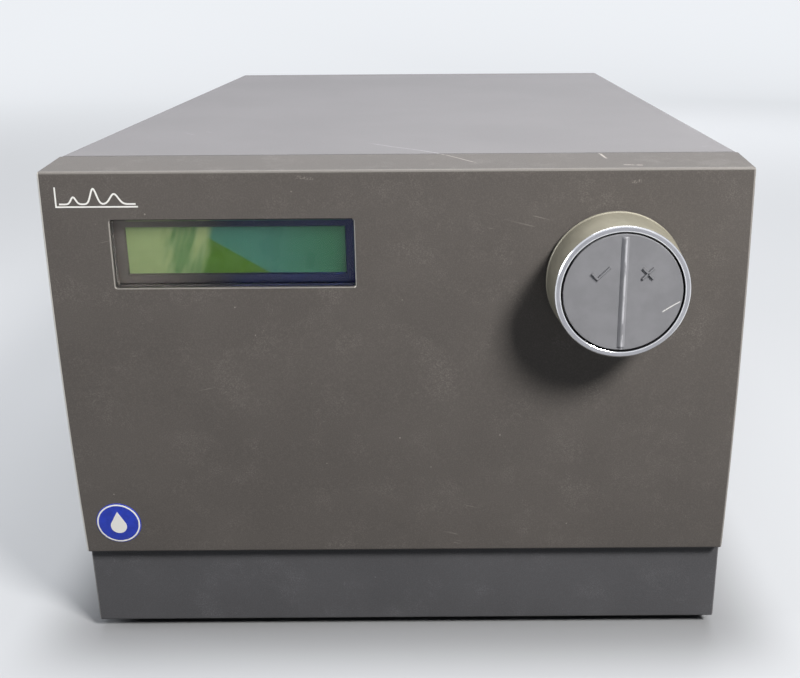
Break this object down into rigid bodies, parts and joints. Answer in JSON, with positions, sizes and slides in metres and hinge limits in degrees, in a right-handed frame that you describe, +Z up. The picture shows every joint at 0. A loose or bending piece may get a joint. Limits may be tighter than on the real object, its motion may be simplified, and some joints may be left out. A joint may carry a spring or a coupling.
{
  "type": "uv absorbance monitor",
  "caption": "Bench UV absorbance monitor: closed steel case, convex front with a display window and a turning selector ring round a rocking key disc, grating optics inside.",
  "frame": {"origin": "centre of the bounding box in plan, on the surface that the feet stand on", "axes": "+X to the right seen from the front, +Y to the back, +Z up"},
  "size_m": [0.262, 0.443, 0.1984],
  "materials": {
    "painted_cover": "fine textured paint, dark grey",
    "bezel_plastic": "fine grained, warm dark grey",
    "zinc_sheet": "zinc-plated sheet",
    "foot_rubber": "black rubber",
    "screw_steel": "zinc-plated screws and pins",
    "black_screw": "blackened countersunk screws",
    "badge_print": "glossy blue and white label",
    "window_acrylic": "clear acrylic",
    "board_green": "solder-masked circuit board",
    "board_tan": "tan circuit board",
    "black_metal": "matt black",
    "lcd_green": "green display glass",
    "knob_silver": "satin silver with a bright chamfer",
    "key_grey": "mid grey, satin",
    "black_plastic": "black moulded plastic",
    "plunger_white": "natural nylon",
    "nickel": "nickel plate",
    "ribbon_grey": "grey flat cable",
    "transformer": "ferrite core and yellow tape",
    "capacitor": "sleeved capacitors",
    "fuse_glass": "clear glass",
    "fibre_brass": "machined brass",
    "fibre_jacket": "blue fibre jacket",
    "cast_alu": "cast and machined aluminium",
    "mirror_coat": "aluminised glass",
    "motor_black": "black motor case"
  },
  "bodies": {
    "case": {"chassis_tray": "zinc_sheet", "front_plate": "zinc_sheet", "rear_panel": "zinc_sheet", "top_cover": "painted_cover", "front_bezel": "bezel_plastic", "front_plinth": "bezel_plastic", "feet": "foot_rubber", "foot_screws": "screw_steel", "cover_screws": "black_screw", "rear_screws": "screw_steel", "bezel_screws": "screw_steel", "front_badge": "badge_print", "display_window": "window_acrylic", "lcd_board": "board_green", "lcd_frame": "black_metal", "lcd_glass": "lcd_green", "key_pin": "screw_steel", "knob_post": "black_plastic", "key_switches": "black_plastic", "front_board": "board_green", "encoder_sensors": "black_plastic", "main_board": "board_green", "board_chips": "black_plastic", "board_connectors": "plunger_white", "board_standoffs": "nickel", "ribbon_cable": "ribbon_grey", "psu_board": "board_tan", "psu_transformer": "transformer", "psu_capacitors": "capacitor", "io_board": "board_green", "signal_ports": "nickel", "port_jackscrews": "screw_steel", "mains_inlet": "black_plastic", "inlet_pins": "nickel", "fan_frame": "black_plastic", "fibre_ports": "fibre_brass", "fibre_leads": "fibre_jacket", "optical_base": "cast_alu", "base_isolators": "foot_rubber", "optics_hood": "black_metal", "lamp_housing": "cast_alu", "flash_lamp": "fuse_glass", "condenser_lens": "fuse_glass", "collimator_mirror": "mirror_coat", "stepper_motor": "motor_black", "photodiodes": "board_green"},
    "knob": {"knob_ring": "knob_silver", "ring_clip": "screw_steel", "encoder_wheel": "black_plastic"},
    "key": {"key_disc": "key_grey"},
    "ok_button": {"ok_plunger": "plunger_white"},
    "esc_button": {"esc_plunger": "plunger_white"},
    "rocker": {"power_rocker": "black_plastic"},
    "fuse_tray": {"fuse_drawer": "black_plastic", "fuses": "fuse_glass"},
    "fan": {"fan_rotor": "black_plastic"},
    "grating_arm": {"grating_holder": "cast_alu", "diffraction_grating": "mirror_coat", "sector_gear": "fibre_brass"},
    "motor_shaft": {"motor_pinion": "fibre_brass"}
  },
  "joints": [
    {"name": "knob_turn", "type": "hinge", "parent": "case", "child": "knob", "pos_m": [0.0808, -0.22077, 0.1556], "axis": [0, 1, 0], "continuous": true},
    {"name": "key_rock", "type": "hinge", "parent": "case", "child": "key", "pos_m": [0.0808, -0.21432, 0.1556], "axis": [0, 0, 1], "range_deg": [-2.5, 2.5], "stiffness_Nm_per_rad": 0.6},
    {"name": "ok_press", "type": "slide", "parent": "case", "child": "ok_button", "axis": [0, 1, 0], "range_m": [-0.00038, 0.00038]},
    {"name": "esc_press", "type": "slide", "parent": "case", "child": "esc_button", "axis": [0, 1, 0], "range_m": [-0.00038, 0.00038]},
    {"name": "power_switch", "type": "hinge", "parent": "case", "child": "rocker", "pos_m": [-0.1, 0.20897, 0.098], "axis": [1, 0, 0], "range_deg": [0, 16]},
    {"name": "fuse_pull", "type": "slide", "parent": "case", "child": "fuse_tray", "axis": [0, 1, 0], "range_m": [0, 0.024]},
    {"name": "fan_spin", "type": "hinge", "parent": "case", "child": "fan", "pos_m": [0.072, 0.19698, 0.142], "axis": [0, 1, 0], "continuous": true},
    {"name": "grating_turn", "type": "hinge", "parent": "case", "child": "grating_arm", "pos_m": [0.0453, 0.00707, 0.0532], "axis": [0, 0, 1], "range_deg": [-12, 12]},
    {"name": "motor_turn", "type": "hinge", "parent": "case", "child": "motor_shaft", "pos_m": [0.0453, 0.04639, 0.0722], "axis": [0, 0, 1], "range_deg": [-54.33, 54.33]}
  ],
  "couplings": [
    {"joint": "ok_press", "follows": "key_rock", "m_per_rad": -0.0086},
    {"joint": "esc_press", "follows": "key_rock", "m_per_rad": 0.0086},
    {"joint": "motor_turn", "follows": "grating_turn", "ratio": -4.4444}
  ]
}
